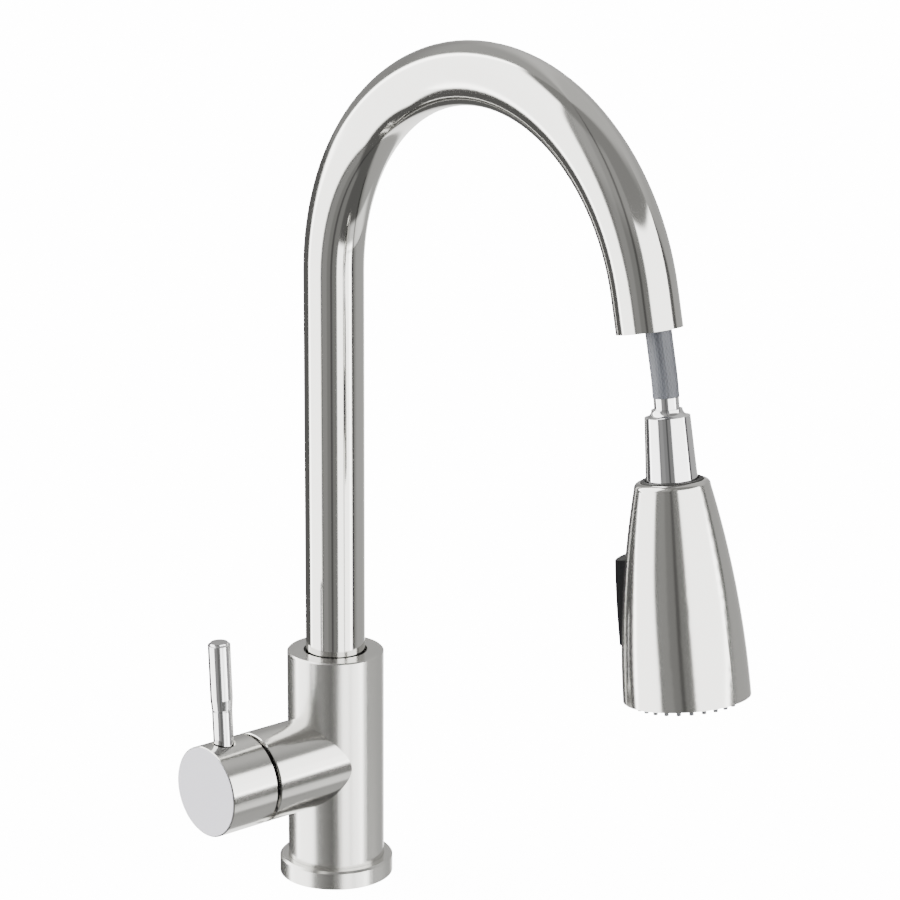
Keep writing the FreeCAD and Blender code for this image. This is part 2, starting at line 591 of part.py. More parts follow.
def outlet_liner():
    """Plastic guide in the spout's end that the hose runs over and the collar docks in."""
    inner = "tube_bore - liner_wall"
    piece("outlet_liner", turned("liner", [
        (f"{inner} + liner_flare", "liner_set"), ("tube_bore", "liner_set"), ("tube_bore", "liner_length"),
        (inner, "liner_length"), (inner, "liner_set + liner_lead")], OUTLET))


# ---------------------------------------------------------------- hose
def hose():
    """Braided hose: the run hidden in the spout, the free run out of it, and the lower union."""
    split = arch_point("hose_arch", "outlet_tilt + hose_split")
    piece("hose_inner", swept("inner_hose", [
        ("0", "hose_foot"), ("0", "arch_height"), (*split, "hose_arch", 1)], "hose_radius", "hose_bore"))
    foot = in_outlet("hose_lean - hose_bend * sin(turn)", "corner_drop + hose_bend * cos(turn)")
    piece("hose_outer", swept("outer_hose", [
        split, (*arch_point("hose_arch", "outlet_tilt"), "hose_arch", 1),
        in_outlet("hose_lean", "corner_drop - hose_bend"), (*foot, "hose_bend / tan(turn / 2)", 1),
        in_outlet("hose_end_side", "hose_end_drop")], "hose_radius", "hose_bore"))
    for name, radius in (("arch", "hose_arch"), ("outlet", "hose_bend / tan(turn / 2)")):
        print(f"hose bend at the {name}: {size(radius):.1f} mm")
    piece("hose_union", turned("union", [
        ("union_bore", "union_foot"), ("union_radius", "union_foot"), ("union_radius", "hose_foot"),
        ("hose_bore - press_gap", "hose_foot"), ("hose_bore - press_gap", "hose_foot + barb_length"),
        ("barb_bore", "hose_foot + barb_length"), ("barb_bore", "hose_foot - union_step"),
        ("union_bore", "hose_foot - union_step")]))


def hose_end():
    """Crimped ferrule and barbed tail, clamped by the chrome collar onto the swivel nipple."""
    piece("hose_ferrule", tube("ferrule", "tail_radius", "ferrule_radius", "ferrule_foot", "ferrule_top",
                               HEAD))
    piece("hose_tail", turned("tail", [
        ("tail_bore", "tail_foot"), ("tail_flange", "tail_foot"), ("tail_flange", "ferrule_foot"),
        ("tail_radius", "ferrule_foot"), ("tail_radius", "tail_end"), ("tail_bore", "tail_end")], HEAD))
    piece("tail_washer", tube("washer", "nipple_bore", "tail_flange", "washer_foot", "tail_foot", HEAD))
    piece("collar", turned("collar_part", [
        ("collar_cavity", "-collar_foot"), ("collar_foot_radius", "-collar_foot"),
        ("collar_top_radius", "collar_top - collar_shoulder"),
        ("collar_top_radius - collar_shoulder", "collar_top", "collar_shoulder", 1),
        ("collar_mouth", "collar_top"), ("collar_mouth", "collar_crown"),
        ("collar_cavity", "collar_crown")], HEAD))


def swivel():
    """Brass nipple that the head turns on, with its seal and the clip that holds the head."""
    drop = "-clip_drop"
    under = "-(clip_drop + clip_height)"
    seal = ("-ring_drop + groove_half", "-ring_drop - groove_half")
    piece("swivel_nipple", turned("nipple", [
        ("nipple_bore", "washer_foot"), ("collar_cavity", "washer_foot"),
        ("collar_cavity", "nipple_shoulder"),
        ("nipple_radius", "nipple_shoulder"), ("nipple_radius", seal[0]), ("groove_radius", seal[0]),
        ("groove_radius", seal[1]), ("nipple_radius", seal[1]), ("nipple_radius", drop),
        ("groove_radius", drop), ("groove_radius", under), ("nipple_radius", under),
        ("nipple_radius", "-nipple_end"), ("nipple_bore", "-nipple_end")], HEAD))
    piece("swivel_clip", tube("clip", "groove_radius", "clip_radius", under, drop, HEAD))
    piece("swivel_seal", o_ring("nipple_ring", "groove_radius + ring_radius", "ring_radius", "-ring_drop",
                                HEAD))


# ---------------------------------------------------------------- spray head
def window(name):
    """The button's window through the side of the head, with a gap round the button."""
    half = "(rocker_width / 2 + rocker_gap)"
    return block(name, ("pocket_floor", f"-{half}", "-(rocker_foot + rocker_end_gap)"),
                 ("skirt_radius + rocker_proud", half, "-(rocker_top - rocker_end_gap)"), ROCKER)


def filled(name, inset, top, foot):
    """The space inside the head's skirt between two depths, drawn in by an inset."""
    blank = turned(f"{name}_blank", [
        ("0", "-rim_depth"), (f"skirt_start - ({inset})", "-rim_depth"),
        (f"skirt_radius - ({inset})", "-head_length", "skirt_curve", 1), ("0", "-head_length")], HEAD)
    slab = rod(f"{name}_slab", "skirt_radius + overrun", f"-({foot})", f"-({top})", HEAD)
    return common(f"{name}_slice", blank, slab)


def head_shell():
    """Steel skirt with a rolled top rim and the button's window, and the rubber ring in its mouth."""
    blank = turned("head_blank", [
        ("rim_mouth", "-rim_depth"), ("rim_mouth", "rim_rise - mouth_round"),
        ("rim_mouth + mouth_round", "rim_rise", "mouth_round", 1), ("rim_radius - rim_round", "rim_rise"),
        ("skirt_start", "-rim_fall", "rim_bend", 1), ("skirt_radius", "-head_length", "skirt_curve", 1),
        ("skirt_radius - shell_wall", "-head_length"),
        ("skirt_start - shell_wall", "-rim_depth", "skirt_curve", -1)], HEAD)
    piece("head_shell", cut("head", blank, window("shell_window")))
    piece("collar_wiper", tube("wiper", "collar_foot_radius + wiper_gap", "rim_mouth - part_fit",
                               "-core_top", "rim_rise + wiper_proud", HEAD))


def head_core():
    """Black waterway body inside the skirt: swivel bore, chamber, button pocket and spool bore."""
    solid = filled("core", "shell_wall + core_fit", "core_top", "core_foot")
    bore = rod("swivel_bore", "nipple_radius + swivel_fit", "-chamber_top", "0", HEAD)
    chamber = rod("chamber", "chamber_radius", "-chamber_foot", "-chamber_top", HEAD)
    below = "-(core_foot + overrun)"
    grip = "-(core_foot - screw_grip)"
    stream = rod("stream_bore", "stream_radius", below, "-chamber_foot", HEAD)
    spray = tube("spray_chamber", "spray_inner", "spray_outer", below, "-spray_top", HEAD)
    spool = spool_cylinder("spool_bore", "spool_radius + bearing_fit", "spool_length + 2 * spool_travel")
    half = "(tongue_width / 2 + tongue_gap)"
    slot = block("tongue_slot", ("spool_place", f"-{half}", "-(rocker_middle + tongue_slot / 2)"),
                 ("pocket_floor + overrun", half, "-(rocker_middle - tongue_slot / 2)"), ROCKER)
    pin = rocker_axle("core_pin_hole", "rocker_pin_radius")
    screws = [face_screw_at(f"screw_bore{number}", number, [
        ("0", below), ("face_screw", below), ("face_screw", grip), ("0", grip)])
        for number in range(FACE_SCREWS)]
    piece("head_core", cut("core", solid, bore, chamber, stream, spray, window("core_window"), spool, slot,
                           pin, *screws))


def spool_cylinder(name, radius, length):
    """A cylinder on the spool's line, centred on the button's pivot height."""
    return cylinder(name, radius, length,
                    f"{ROCKER} * placement(vector(spool_place; 0; -(rocker_middle + ({length}) / 2));"
                    " rotation(vector(0; 0; 1); 0))")


def rocker_axle(name, radius):
    return cylinder(name, radius, "rocker_pin_length",
                    f"{ROCKER} * placement(vector(rocker_pivot; rocker_pin_length / 2; -rocker_middle);"
                    " rotation(vector(1; 0; 0); 90))")


def rocker():
    """Black button that follows the skirt, proud at its top, with a tongue into the spool."""
    blank = turned("rocker_blank", [
        ("0", "-rim_depth"), ("skirt_start + proud_at_rim", "-rim_depth"),
        ("skirt_radius + proud_at_skirt", "-head_length", "skirt_curve", 1), ("0", "-head_length")], HEAD)
    face = block("rocker_face", ("rocker_back", "-rocker_width / 2", "-rocker_foot"),
                 ("skirt_radius + rocker_proud", "rocker_width / 2", "-rocker_top"), ROCKER)
    boss = block("rocker_boss",
                 ("rocker_pivot - boss_half", "-rocker_width / 2", "-(rocker_middle + boss_half)"),
                 ("rocker_back", "rocker_width / 2", "-(rocker_middle - boss_half)"), ROCKER)
    tongue = block("rocker_tongue",
                   ("tongue_end", "-tongue_width / 2", "-(rocker_middle + tongue_height / 2)"),
                   ("rocker_pivot", "tongue_width / 2", "-(rocker_middle - tongue_height / 2)"), ROCKER)
    solid = joined("rocker_solid", common("rocker_plate", blank, face), boss, tongue)
    piece("rocker_button",
          cut("button", solid, rocker_axle("rocker_pin_hole", "rocker_pin_radius + bearing_fit")))
    piece("rocker_pin", rocker_axle("axle", "rocker_pin_radius"))
    spool = spool_cylinder("spool_rod", "spool_radius", "spool_length")
    wide = "(spool_radius + overrun)"
    notch = block("spool_notch",
                  ("tongue_end - tongue_gap", f"-{wide}", "-(rocker_middle + notch_height / 2)"),
                  (f"spool_place + {wide}", wide, "-(rocker_middle - notch_height / 2)"), ROCKER)
    piece("diverter_spool", cut("spool", spool, notch))


def face_screw_at(name, number, points):
    """One of three screws, or their holes, spaced evenly round the head's axis."""
    turn = number * 360 / FACE_SCREWS
    return turned(name, points, f"{HEAD} * placement(vector(0; 0; 0); rotation(vector(0; 0; 1); {turn}))"
                                " * placement(vector(screw_circle; 0; 0); rotation(vector(0; 0; 1); 0))")


def waterway_parts():
    """Inlet screen and check valve in the chamber, below the swivel."""
    screen = rod("screen", "chamber_radius", "-(screen_drop + screen_height)", "-screen_drop", HEAD)
    pattern(screen, "screen_holes", "Pocket", "screen_hole", "screen_circle", SCREEN_HOLES,
            "-(screen_drop + screen_height + overrun)", "screen_height + 2 * overrun")
    piece("inlet_screen", screen)
    piece("check_valve", tube("check", "check_bore", "chamber_radius", "-(check_drop + check_height)",
                              "-check_drop", HEAD))


def spray_face():
    """Face plate, the rubber nozzle mat behind it, the stream outlet and three screws."""
    top = "(head_length - face_recess - face_height)"
    foot = "(head_length - face_recess)"
    edge = "skirt_radius - shell_wall - 2 * part_fit"
    plate = turned("plate_disc", [
        ("stream_radius", f"-{foot}"), (edge, f"-{foot}"), (f"{edge} - 2 * part_fit", f"-{top}"),
        ("stream_radius", f"-{top}")], HEAD)
    mat = tube("mat_disc", "stream_radius", "mat_radius", f"-{top}", "-core_foot", HEAD)
    under = f"-({foot} + overrun)"
    through = "face_height + 2 * overrun"
    for name, count in NOZZLES.items():
        circle = f"{name}_circle"
        pattern(plate, f"{name}_holes", "Pocket", "nozzle_hole", circle, count, under, through)
        pattern(mat, f"{name}_nozzles", "Pad", "nozzle_radius", circle, count,
                "-(head_length + nozzle_reach)", "face_height + face_recess + nozzle_reach + nozzle_root")
    pattern(plate, "plate_screw_holes", "Pocket", "face_screw", "screw_circle", FACE_SCREWS, under, through)
    pattern(mat, "mat_screw_holes", "Pocket", "face_screw + screw_fit", "screw_circle", FACE_SCREWS,
            f"-({top} + overrun)", "mat_height + 2 * overrun")
    piece("spray_plate", plate)
    piece("nozzle_mat", mat)
    piece("stream_outlet", turned("stream", [
        ("stream_mouth", f"-{foot} - stream_lip"), ("stream_radius - part_fit", f"-{foot} - stream_lip"),
        ("stream_radius - part_fit", f"-{foot} + stream_height"), ("0", f"-{foot} + stream_height"),
        ("0", f"-{foot} + stream_floor"), ("stream_mouth", f"-{foot} + stream_floor")], HEAD))
    shank = "(face_screw - part_fit)"
    piece("face_screws", group("screws", *[face_screw_at(f"face_screw{number}", number, [
        ("0", f"-{foot} - face_screw_dome"), ("face_screw_head", f"-{foot}", "dome_radius", 1),
        (shank, f"-{foot}"), (shank, "-(core_foot - screw_grip)"), ("0", "-(core_foot - screw_grip)")])
        for number in range(FACE_SCREWS)]))


# ---------------------------------------------------------------- build, check and export
for make in (base_flange, body_shell, shank_insert, valve_block, cartridge_body, moving_disc, stem_carrier,
             cartridge_stem, branch_rings, handle_hub, lever, hub_screw, spout_tube, spout_foot,
             neck_bearings, outlet_liner, hose, hose_end, swivel, head_shell, head_core, rocker,
             waterway_parts, spray_face):
    make()
doc.recompute()
faults = [item.Name for item in doc.Objects if "Invalid" in item.State or "Error" in item.State]
if faults:
    raise RuntimeError(f"these objects failed: {faults}")
for item in PIECES:
    if item.Shape.isNull() or not item.Shape.isValid() or not item.Shape.Solids:
        raise RuntimeError(f"{item.Label} is not a valid solid")
os.makedirs("parts", exist_ok=True)
for item in PIECES:
    item.Shape.exportStep(f"parts/{item.Label}.step")
    print(f"{item.Label}: {len(item.Shape.Solids)} solid(s), {item.Shape.Volume:.0f} mm3")
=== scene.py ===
"""Finishes for the pull-down kitchen faucet: a material for every turned, moulded and rubber
piece of the frame, the braided hose, the spray nozzles' rims, the stream outlet's wire screen,
and a plain studio. Metres, +Z up; the spout reaches along +X and the lever's branch along -Y."""
import math
import bpy
from bpy.props import FloatProperty, FloatVectorProperty, IntProperty, PointerProperty
from mathutils import Matrix, Vector


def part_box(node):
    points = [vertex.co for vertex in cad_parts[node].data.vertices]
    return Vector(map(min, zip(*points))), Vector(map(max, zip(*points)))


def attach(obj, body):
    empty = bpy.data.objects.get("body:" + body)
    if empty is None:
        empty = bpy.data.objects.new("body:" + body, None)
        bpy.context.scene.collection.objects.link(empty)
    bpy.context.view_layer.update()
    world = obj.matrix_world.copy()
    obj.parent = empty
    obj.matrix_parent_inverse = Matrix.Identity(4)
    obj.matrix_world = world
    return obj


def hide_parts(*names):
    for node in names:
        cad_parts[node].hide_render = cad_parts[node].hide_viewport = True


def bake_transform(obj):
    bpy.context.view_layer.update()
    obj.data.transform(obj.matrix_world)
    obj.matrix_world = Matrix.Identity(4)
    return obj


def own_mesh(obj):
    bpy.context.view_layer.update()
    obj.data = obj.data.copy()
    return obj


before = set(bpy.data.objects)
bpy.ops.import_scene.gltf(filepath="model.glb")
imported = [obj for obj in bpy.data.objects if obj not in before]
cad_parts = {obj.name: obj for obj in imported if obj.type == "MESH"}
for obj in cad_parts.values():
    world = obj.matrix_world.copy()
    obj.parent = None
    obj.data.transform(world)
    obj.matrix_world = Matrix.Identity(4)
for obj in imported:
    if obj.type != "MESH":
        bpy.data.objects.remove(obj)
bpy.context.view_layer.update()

bl_info = {
    "name": "Pull-down faucet finishes",
    "version": (1, 0, 0),
    "blender": (4, 5, 0),
    "location": "3D View > Sidebar > Faucet",
    "description": "Materials, braided hose, nozzle rims and studio for a pull-down kitchen faucet",
    "category": "Object",
}

# ------------------------------------------------------------------ lines of the faucet
ARCH_HEIGHT = 0.29185
ARCH_RADIUS = 0.10015
OUTLET_TILT = math.radians(12.236)
OUTLET_STRAIGHT = 0.0155
HEAD_TILT = math.radians(7.39)
HEAD_LENGTH = 0.090

UP = Vector((0, 0, 1))
ACROSS = Vector((math.cos(OUTLET_TILT), 0, math.sin(OUTLET_TILT)))
DOWN = Vector((math.sin(OUTLET_TILT), 0, -math.cos(OUTLET_TILT)))
OUTLET = (Vector((ARCH_RADIUS, 0, ARCH_HEIGHT)) + ARCH_RADIUS * ACROSS + OUTLET_STRAIGHT * DOWN)
HEAD_AXIS = Vector((-math.sin(HEAD_TILT), 0, math.cos(HEAD_TILT)))
HEAD_RIM = OUTLET + 0.0633 * DOWN + 0.00142 * ACROSS


def head_place():
    """The frame of the spray head: origin at its top rim, +Z up its axis."""
    return Matrix.Translation(HEAD_RIM) @ Matrix.Rotation(-HEAD_TILT, 4, "Y")


# ------------------------------------------------------------------ shader arithmetic
class Value:
    """A shader number that Python arithmetic works on: each operation adds a Math node."""

    def __init__(self, tree, socket):
        self.tree = tree
        self.socket = socket

    def math(self, operation, *others):
        node = self.tree.nodes.new("ShaderNodeMath")
        node.operation = operation
        for place, item in zip(node.inputs, (self, *others)):
            feed(self.tree, place, item)
        return Value(self.tree, node.outputs[0])

    def __add__(self, other):
        return self.math("ADD", other)

    __radd__ = __add__

    def __sub__(self, other):
        return self.math("SUBTRACT", other)

    def __rsub__(self, other):
        return (self * -1) + other

    def __mul__(self, other):
        return self.math("MULTIPLY", other)

    __rmul__ = __mul__

    def __abs__(self):
        return self.math("ABSOLUTE")


def feed(tree, place, item):
    """Sets a socket to a value, or links it to the socket that carries one."""
    if isinstance(item, Value):
        tree.links.new(item.socket, place)
    elif isinstance(item, bpy.types.NodeSocket):
        tree.links.new(item, place)
    else:
        place.default_value = item


class Shader:
    """The node tree of one material or of the world."""

    def __init__(self, tree):
        self.tree = tree
        tree.nodes.clear()

    def node(self, kind, settings=None, inputs=None, output=0):
        """A node of this kind with its settings made first, then its sockets' values or links."""
        node = self.tree.nodes.new(kind)
        for name, setting in (settings or {}).items():
            setattr(node, name, setting)
        for name, item in (inputs or {}).items():
            feed(self.tree, node.inputs[name], item)
        return Value(self.tree, node.outputs[output]) if node.outputs else node

    def position(self):
        """The object position in metres, as a vector."""
        return self.node("ShaderNodeTexCoord", output="Object")

    def parts_of(self, vector):
        split = self.node("ShaderNodeSeparateXYZ", inputs={0: vector})
        sockets = split.socket.node.outputs
        return [Value(self.tree, sockets[name]) for name in "XYZ"]

    def joined(self, x, y, z):
        return self.node("ShaderNodeCombineXYZ", inputs={"X": x, "Y": y, "Z": z})

    def noise(self, vector, scale, detail=2.0):
        return self.node("ShaderNodeTexNoise",
                         inputs={"Vector": vector, "Scale": scale, "Detail": detail})

    def step(self, value, low, high, to_low=0.0, to_high=1.0):
        """Rises smoothly from to_low to to_high while the value goes from low to high."""
        return self.node("ShaderNodeMapRange", {"interpolation_type": "SMOOTHSTEP"},
                         {"Value": value, "From Min": low, "From Max": high,
                          "To Min": to_low, "To Max": to_high})

    def between(self, factor, first, second):
        """A colour between two colours."""
        return self.node("ShaderNodeMix", {"data_type": "RGBA"},
                         {"Factor": factor, 6: colour(first), 7: colour(second)}, output=2)

    def bump(self, height, strength, distance):
        return self.node("ShaderNodeBump", inputs={"Height": height, "Strength": strength,
                                                   "Distance": distance})

    def surface(self, **inputs):
        """The finished surface, from the shader's socket names with _ for a space."""
        named = {name.replace("_", " "): item for name, item in inputs.items()}
        shader = self.node("ShaderNodeBsdfPrincipled", inputs=named)
        self.node("ShaderNodeOutputMaterial", inputs={"Surface": shader.socket})


def colour(item):
    return item if isinstance(item, (Value, bpy.types.NodeSocket)) else (*item[:3], 1)


def material(name):
    made = bpy.data.materials.new(name)
    made.use_nodes = True
    return made, Shader(made.node_tree)


def cover(node, made):
    """Gives a frame piece a material."""
    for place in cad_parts[node].material_slots:
        place.material = made


# ------------------------------------------------------------------ metals
def along_spout(shader, position):
    """How far up the riser and round the arch a point lies."""
    x, _, z = shader.parts_of(position)
    angle = (z - ARCH_HEIGHT).math("ARCTAN2", x - ARCH_RADIUS)
    round_arch = (math.pi - angle) * ARCH_RADIUS
    above = z.math("GREATER_THAN", ARCH_HEIGHT)
    rise = z.math("MINIMUM", ARCH_HEIGHT)
    return rise + above * round_arch


def along_axis(axis):
    """Gives the distance along a fixed direction."""
    def measure(shader, position):
        return shader.node("ShaderNodeVectorMath", {"operation": "DOT_PRODUCT"},
                           {0: position, 1: tuple(axis)}, output="Value")
    return measure


def steel(name, tint, roughness, grain, along, spread=0.04):
    """Steel with fine brush lines that run round the piece, and faint hazy patches."""
    made, shader = material(name)
    position = shader.position()
    way = along(shader, position)
    lines = shader.noise(shader.joined(way * 9000, 0.0, 0.0), 1.0, 3.0)
    broken = shader.noise(position, 60.0, 3.0)
    haze = shader.noise(position, 22.0, 2.0)
    brushed = lines * 0.7 + broken * 0.3
    shader.surface(
        Base_Color=shader.between(brushed, [part * 0.95 for part in tint], tint),
        Metallic=1.0,
        Roughness=roughness + (brushed - 0.5) * spread + (haze - 0.5) * spread,
        Normal=shader.bump(brushed, grain, 0.00002))
    return made


def hub_steel(name, tint, roughness, grain, settings):
    """The handle's steel: brushed round its side, and bead-blasted on its flat end."""
    made, shader = material(name)
    position = shader.position()
    _, y, _ = shader.parts_of(position)
    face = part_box("handle_hub")[0][1]
    blasted = shader.step(y, face + 0.00002, face + 0.0005, 1.0, 0.0)
    lines = shader.noise(shader.joined(y * 9000, 0.0, 0.0), 1.0, 3.0)
    beads = shader.noise(position, 2600.0, 2.0)
    texture = lines * (1 - blasted) + beads * blasted
    shader.surface(
        Base_Color=shader.between(blasted, tint, settings.face_tint),
        Metallic=1.0,
        Roughness=roughness + blasted * (settings.face_roughness - roughness) + (texture - 0.5) * 0.04,
        Normal=shader.bump(texture, grain, 0.00003))
    return made


def polished(name, tint, roughness):
    """Plated metal, with the faint waviness that polishing leaves."""
    made, shader = material(name)
    position = shader.position()
    waves = shader.noise(position, 90.0, 2.0)
    specks = shader.noise(position, 900.0, 3.0)
    shader.surface(Base_Color=shader.between(waves, [part * 0.97 for part in tint], tint),
                   Metallic=1.0,
                   Roughness=roughness + (specks - 0.5) * roughness * 0.5,
                   Normal=shader.bump(waves, 0.03, 0.0002))
    return made


def machined(name, tint, roughness, pitch):
    """Turned metal whose tool lines show, a little dulled in patches."""
    made, shader = material(name)
    position = shader.position()
    x, y, z = shader.parts_of(position)
    tool = ((z + y) * (2 * math.pi / pitch)).math("SINE")
    dull = shader.noise(position, 160.0, 4.0)
    shader.surface(Base_Color=shader.between(dull, [part * 0.8 for part in tint], tint),
                   Metallic=1.0,
                   Roughness=roughness + dull * 0.14,
                   Normal=shader.bump(tool * 0.5 + dull, 0.25, 0.00003))
    return made


def moulded(name, tint, roughness, grain=900.0, gloss=0.5):
    """Moulded plastic with a fine spark-eroded texture."""
    made, shader = material(name)
    position = shader.position()
    texture = shader.noise(position, grain, 2.0)
    flow = shader.noise(position, 40.0, 2.0)
    shader.surface(Base_Color=shader.between(flow, [part * 0.88 for part in tint], tint),
                   Roughness=roughness + (texture - 0.5) * 0.12, Specular_IOR_Level=gloss,
                   Normal=shader.bump(texture, 0.08, 0.00002))
    return made


def rubber(name, tint, roughness):
    """Moulded rubber, faintly dusty and soft-edged."""
    made, shader = material(name)
    position = shader.position()
    dust = shader.noise(position, 320.0, 5.0)
    shader.surface(Base_Color=shader.between(dust, tint, [part * 1.35 + 0.01 for part in tint]),
                   Roughness=roughness + dust * 0.12,
                   Normal=shader.bump(dust, 0.3, 0.00005))
    return made


def ceramic(name):
    """Lapped alumina, nearly white, with tiny grey inclusions."""
    made, shader = material(name)
    position = shader.position()
    specks = shader.step(shader.noise(position, 1400.0, 2.0), 0.68, 0.76)
    shader.surface(Base_Color=shader.between(specks, (0.86, 0.84, 0.79), (0.5, 0.49, 0.47)),
                   Roughness=0.16 + specks * 0.2, Coat_Weight=0.3,
                   Normal=shader.bump(specks, 0.05, 0.00002))
    return made


# ------------------------------------------------------------------ braided hose
def hose_line(settings):
    """Points down the middle of the hose, from inside the arch to the ferrule."""
    lean, end_side, end_drop = 0.005, 0.004444, 0.02763
    arch = (ARCH_RADIUS * (1 + math.cos(OUTLET_TILT)) + lean) / (1 + math.cos(OUTLET_TILT))
    split = OUTLET_TILT + math.radians(settings.split_angle)
    points = []
    for part in range(24):
        angle = split + (OUTLET_TILT - split) * part / 24
        points.append(Vector((arch * (1 + math.cos(angle)), 0, ARCH_HEIGHT + arch * math.sin(angle))))
    start = OUTLET + lean * ACROSS - OUTLET_STRAIGHT * DOWN
    turn = OUTLET_TILT - HEAD_TILT
    run = (lean - end_side) / math.sin(turn)
    corner_drop = end_drop - run * math.cos(turn)
    corner = OUTLET + lean * ACROSS + corner_drop * DOWN
    end = OUTLET + end_side * ACROSS + end_drop * DOWN
    bend = 0.9 * run
    first = corner - bend * DOWN
    last = corner + bend * (end - corner).normalized()
    steps = 16
    points += [start.lerp(first, part / steps) for part in range(steps)]
    for part in range(steps):
        along = part / steps
        points.append(first.lerp(corner, along).lerp(corner.lerp(last, along), along))
    points += [last.lerp(end, part / 2) for part in range(3)]
    return points


def tube_along(name, points, radii, lengths, around, width):
    """A round tube whose UV map holds turns round it and metres along it."""
    rows, corners = [], []
    for number, point in enumerate(points):
        ahead = points[min(number + 1, len(points) - 1)] - points[max(number - 1, 0)]
        ahead.normalize()
        side = Vector((0, 1, 0))
        out = side.cross(ahead).normalized()
        for spoke in range(around):
            angle = 2 * math.pi * spoke / around
            rows.append(point + radii[number] * (math.cos(angle) * out + math.sin(angle) * side))
    faces, uvs = [], []
    for number in range(len(points) - 1):
        for spoke in range(around):
            after = (spoke + 1) % around
            faces.append((number * around + spoke, number * around + after,
                          (number + 1) * around + after, (number + 1) * around + spoke))
            near, far = lengths[number] / width, lengths[number + 1] / width
            left, right = spoke / around, (spoke + 1) / around
            uvs += [(left, near), (right, near), (right, far), (left, far)]
    last = (len(points) - 1) * around
    for rim, first in ((0, lengths[0]), (last, lengths[-1])):
        centre = len(rows)
        rows.append(points[0] if rim == 0 else points[-1])
        for spoke in range(around):
            after = (spoke + 1) % around
            pair = (rim + after, rim + spoke) if rim == 0 else (rim + spoke, rim + after)
            faces.append((*pair, centre))
            uvs += [(0.0, first / width)] * 3
    mesh = bpy.data.meshes.new(name)
    mesh.from_pydata([tuple(row) for row in rows], [], faces)
    layer = mesh.uv_layers.new(name="Braid")
    for loop, uv in zip(layer.data, uvs):
        loop.uv = uv
    for face in mesh.polygons:
        face.use_smooth = len(face.vertices) == 4
    mesh.validate()
    made = bpy.data.objects.new(name, mesh)
    bpy.context.scene.collection.objects.link(made)
    return made


def braid(name, settings):
    """Nylon yarns in a tight diagonal braid: rounded ribs, darker in the gaps between them."""
    made, shader = material(name)
    uv = shader.node("ShaderNodeUVMap", {"uv_map": "Braid"})
    around, along, _ = shader.parts_of(uv)
    count, slope = settings.yarns, settings.yarns * 0.55
    left = (around * count + along * slope) * (2 * math.pi)
    right = (around * count - along * slope) * (2 * math.pi)
    over = (left * 0.5 + right * 0.5).math("SINE")
    ribs = (left.math("SINE") * 0.5 + 0.5) * (over * 0.5 + 0.5) + \
        (right.math("SINE") * 0.5 + 0.5) * (0.5 - over * 0.5)
    streak = shader.noise(shader.joined(around * 46, along * 0.5, 0.0), 1.0, 3.0)
    fuzz = shader.noise(shader.position(), 2400.0, 3.0)
    shade = ribs * 0.16 + streak * 1.0 + fuzz * 0.2
    dark = [part * 0.55 for part in settings.yarn_tint]
    light = [min(part * 1.5, 1.0) for part in settings.yarn_tint]
    shader.surface(Base_Color=shader.between(shader.step(shade, 0.35, 1.0), dark, light),
                   Roughness=0.42 + fuzz * 0.18,
                   Normal=shader.bump(ribs * 0.5 + streak + fuzz * 0.1, 0.45, 0.0002))
    return made


# ------------------------------------------------------------------ repeated pieces
def tree_with(name, numbers):
    """A geometry node tree with named number inputs and a material input."""
    tree = bpy.data.node_groups.new(name, "GeometryNodeTree")
    tree.interface.new_socket("Geometry", in_out="INPUT", socket_type="NodeSocketGeometry")
    for label, (kind, start) in numbers.items():
        socket = tree.interface.new_socket(label, in_out="INPUT", socket_type=kind)
        socket.default_value = start
    tree.interface.new_socket("Material", in_out="INPUT", socket_type="NodeSocketMaterial")
    tree.interface.new_socket("Geometry", in_out="OUTPUT", socket_type="NodeSocketGeometry")
    return tree, tree.nodes.new("NodeGroupInput"), tree.nodes.new("NodeGroupOutput")


def add(tree, kind, settings=None, **links):
    """A geometry node, with its settings first and then its sockets' links or values."""
    node = tree.nodes.new(kind)
    for name, setting in (settings or {}).items():
        setattr(node, name, setting)
    for name, item in links.items():
        place = node.inputs[name.replace("_", " ")]
        if isinstance(item, bpy.types.NodeSocket):
            tree.links.new(item, place)
        else:
            place.default_value = item
    return node


def finish_tree(tree, result, given, last):
    real = add(tree, "GeometryNodeRealizeInstances", Geometry=result)
    painted = add(tree, "GeometryNodeSetMaterial", Geometry=real.outputs[0], Material=given.outputs["Material"])
    tree.links.new(painted.outputs[0], last.inputs["Geometry"])


def nozzle_tree():
    """Rounded rims, one round each hole of a circle of nozzles."""
    tree, given, last = tree_with("Nozzle rims", {
        "Count": ("NodeSocketInt", 26), "Circle Radius": ("NodeSocketFloat", 0.0216),
        "Rim Radius": ("NodeSocketFloat", 0.0006), "Lip": ("NodeSocketFloat", 0.0003)})
    ring = add(tree, "GeometryNodeMeshCircle", Vertices=given.outputs["Count"],
               Radius=given.outputs["Circle Radius"])
    rim = add(tree, "GeometryNodeCurvePrimitiveCircle", Resolution=14, Radius=given.outputs["Rim Radius"])
    lip = add(tree, "GeometryNodeCurvePrimitiveCircle", Resolution=8, Radius=given.outputs["Lip"])
    swept = add(tree, "GeometryNodeCurveToMesh", Curve=rim.outputs["Curve"], Profile_Curve=lip.outputs["Curve"])
    smooth = add(tree, "GeometryNodeSetShadeSmooth", Geometry=swept.outputs[0])
    placed = add(tree, "GeometryNodeInstanceOnPoints", Points=ring.outputs["Mesh"], Instance=smooth.outputs[0])
    finish_tree(tree, placed.outputs[0], given, last)
    return tree


